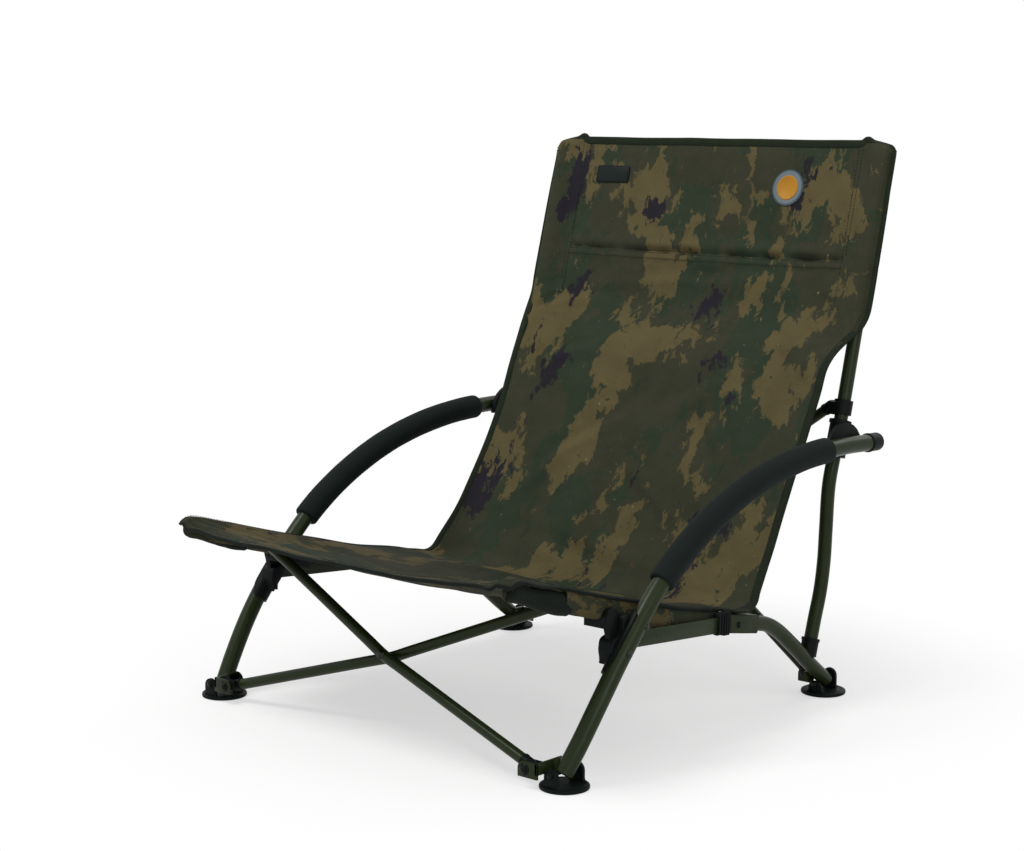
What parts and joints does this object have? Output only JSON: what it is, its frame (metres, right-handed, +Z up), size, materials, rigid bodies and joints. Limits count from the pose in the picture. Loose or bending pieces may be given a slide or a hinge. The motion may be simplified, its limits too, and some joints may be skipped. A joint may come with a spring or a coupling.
{
  "type": "folding fishing chair",
  "caption": "Low folding fishing chair with bent tube side frames, foam arm grips, crossed braces, swivel disc feet and a slung cloth seat and back.",
  "frame": {"origin": "on the ground, under the middle of the whole chair's bounding box", "axes": "+Z up, +Y towards the back, +X towards the sitter's left; the chair faces -Y"},
  "size_m": [0.6506, 0.7612, 0.7204],
  "materials": {
    "frame_paint": "satin",
    "black_plastic": "matte",
    "green_plastic": "matte",
    "grip_foam": "matte",
    "rivet_steel": "satin",
    "camouflage_cloth": "matte",
    "dark_nylon": "matte",
    "badge_rubber": "matte"
  },
  "bodies": {
    "left_frame": {"arm_tube_left": "frame_paint", "arm_foam_left": "grip_foam", "arm_cap_left": "black_plastic", "arm_bracket_left": "black_plastic", "back_post_left": "frame_paint", "post_ferrule_left": "black_plastic", "rear_leg_left": "frame_paint", "knuckle_left": "green_plastic", "knuckle_pin_left": "rivet_steel", "link_bar_left": "frame_paint", "bar_collar_left": "black_plastic", "saddle_left": "black_plastic", "leg_rivet_upper_left": "rivet_steel", "leg_rivet_lower_left": "rivet_steel", "back_sleeve_left": "camouflage_cloth", "back_cloth": "camouflage_cloth", "label_patch": "dark_nylon", "round_patch": "badge_rubber"},
    "right_frame": {"arm_tube_right": "frame_paint", "arm_foam_right": "grip_foam", "arm_cap_right": "black_plastic", "arm_bracket_right": "black_plastic", "back_post_right": "frame_paint", "post_ferrule_right": "black_plastic", "rear_leg_right": "frame_paint", "knuckle_right": "green_plastic", "knuckle_pin_right": "rivet_steel", "link_bar_right": "frame_paint", "bar_collar_right": "black_plastic", "saddle_right": "black_plastic", "leg_rivet_upper_right": "rivet_steel", "leg_rivet_lower_right": "rivet_steel", "back_sleeve_right": "camouflage_cloth"},
    "seat_rail_left": {"seat_rail_left": "frame_paint", "seat_sleeve_left": "camouflage_cloth", "seat_pocket_left": "dark_nylon", "seat_cloth": "camouflage_cloth"},
    "front_eye_left": {"front_eye_left": "black_plastic"},
    "front_cross_left": {"front_cross_tube_left": "frame_paint", "front_cross_rivet_left": "rivet_steel"},
    "rear_cross_left": {"rear_cross_tube_left": "frame_paint", "rear_cross_rivet_left": "rivet_steel"},
    "post_slider_left": {"post_slider_left": "black_plastic"},
    "front_foot_left": {"front_foot_left": "green_plastic", "front_foot_pin_left": "rivet_steel"},
    "rear_foot_left": {"rear_foot_left": "green_plastic", "rear_foot_pin_left": "rivet_steel"},
    "seat_rail_right": {"seat_rail_right": "frame_paint", "seat_sleeve_right": "camouflage_cloth", "seat_pocket_right": "dark_nylon"},
    "front_eye_right": {"front_eye_right": "black_plastic"},
    "front_cross_right": {"front_cross_tube_right": "frame_paint", "front_cross_rivet_right": "rivet_steel"},
    "rear_cross_right": {"rear_cross_tube_right": "frame_paint", "rear_cross_rivet_right": "rivet_steel"},
    "post_slider_right": {"post_slider_right": "black_plastic"},
    "front_foot_right": {"front_foot_right": "green_plastic", "front_foot_pin_right": "rivet_steel"},
    "rear_foot_right": {"rear_foot_right": "green_plastic", "rear_foot_pin_right": "rivet_steel"}
  },
  "joints": [
    {"name": "front_lean_left", "type": "hinge", "parent": "left_frame", "child": "front_eye_left", "pos_m": [0.264, -0.31008, 0.02297], "axis": [-1, 0, 0], "range_deg": [0, 24.8]},
    {"name": "fold", "type": "hinge", "parent": "front_eye_left", "child": "front_cross_left", "pos_m": [0.264, -0.31008, 0.02297], "axis": [0, 0.9481, -0.3179], "range_deg": [0, 59.3], "deforming": ["seat_cloth", "back_cloth", "label_patch", "round_patch", "back_sleeve_left", "back_sleeve_right"]},
    {"name": "front_crossing", "type": "hinge", "parent": "front_cross_left", "child": "front_cross_right", "pos_m": [0, -0.28392, 0.101], "axis": [0, -0.9481, 0.3179], "range_deg": [0, 118.7]},
    {"name": "front_eye_turn_right", "type": "hinge", "parent": "front_cross_right", "child": "front_eye_right", "pos_m": [-0.264, -0.31008, 0.02297], "axis": [0, 0.9481, -0.3179], "range_deg": [0, 59.4]},
    {"name": "front_lean_right", "type": "hinge", "parent": "front_eye_right", "child": "right_frame", "pos_m": [-0.264, -0.31008, 0.02297], "axis": [1, 0, 0], "range_deg": [0, 24.8]},
    {"name": "seat_rail_left_swing", "type": "hinge", "parent": "left_frame", "child": "seat_rail_left", "pos_m": [0.277, 0.03194, 0.13198], "axis": [-1, 0, 0], "range_deg": [0, 81.9]},
    {"name": "rear_cross_left_turn", "type": "hinge", "parent": "left_frame", "child": "rear_cross_left", "pos_m": [0.25385, 0.24695, 0.02256], "axis": [-0.0976, 0.9896, -0.1056], "range_deg": [0, 45.3]},
    {"name": "post_slider_left_slide", "type": "slide", "parent": "left_frame", "child": "post_slider_left", "axis": [0, 0.2562, 0.9666], "range_m": [0, 0.258]},
    {"name": "seat_rail_right_swing", "type": "hinge", "parent": "right_frame", "child": "seat_rail_right", "pos_m": [-0.277, 0.03194, 0.13198], "axis": [-1, 0, 0], "range_deg": [0, 81.9]},
    {"name": "rear_cross_right_turn", "type": "hinge", "parent": "right_frame", "child": "rear_cross_right", "pos_m": [-0.25385, 0.26292, 0.02151], "axis": [-0.0976, -0.9896, 0.1056], "range_deg": [0, 45.3]},
    {"name": "post_slider_right_slide", "type": "slide", "parent": "right_frame", "child": "post_slider_right", "axis": [0, 0.2562, 0.9666], "range_m": [0, 0.258]},
    {"name": "front_foot_left_tilt", "type": "hinge", "parent": "left_frame", "child": "front_foot_left", "pos_m": [0.296, -0.29558, 0.02], "axis": [0, 1, 0], "range_deg": [-12, 12]},
    {"name": "rear_foot_left_tilt", "type": "hinge", "parent": "left_frame", "child": "rear_foot_left", "pos_m": [0.277, 0.2465, 0.015], "axis": [0, 1, 0], "range_deg": [-12, 12]},
    {"name": "front_foot_right_tilt", "type": "hinge", "parent": "right_frame", "child": "front_foot_right", "pos_m": [-0.296, -0.29558, 0.02], "axis": [0, 1, 0], "range_deg": [-12, 12]},
    {"name": "rear_foot_right_tilt", "type": "hinge", "parent": "right_frame", "child": "rear_foot_right", "pos_m": [-0.277, 0.2465, 0.015], "axis": [0, 1, 0], "range_deg": [-12, 12]}
  ],
  "couplings": [
    {"joint": "front_lean_left", "follows": "fold", "ratio": 0.41716},
    {"joint": "front_crossing", "follows": "fold", "ratio": 2},
    {"joint": "front_eye_turn_right", "follows": "fold", "ratio": 1},
    {"joint": "front_lean_right", "follows": "fold", "ratio": 0.41716},
    {"joint": "seat_rail_left_swing", "follows": "fold", "ratio": 1.3796},
    {"joint": "rear_cross_left_turn", "follows": "fold", "ratio": 0.76282},
    {"joint": "post_slider_left_slide", "follows": "fold", "m_per_rad": 0.24904},
    {"joint": "seat_rail_right_swing", "follows": "fold", "ratio": 1.3796},
    {"joint": "rear_cross_right_turn", "follows": "fold", "ratio": 0.76282},
    {"joint": "post_slider_right_slide", "follows": "fold", "m_per_rad": 0.24904}
  ]
}
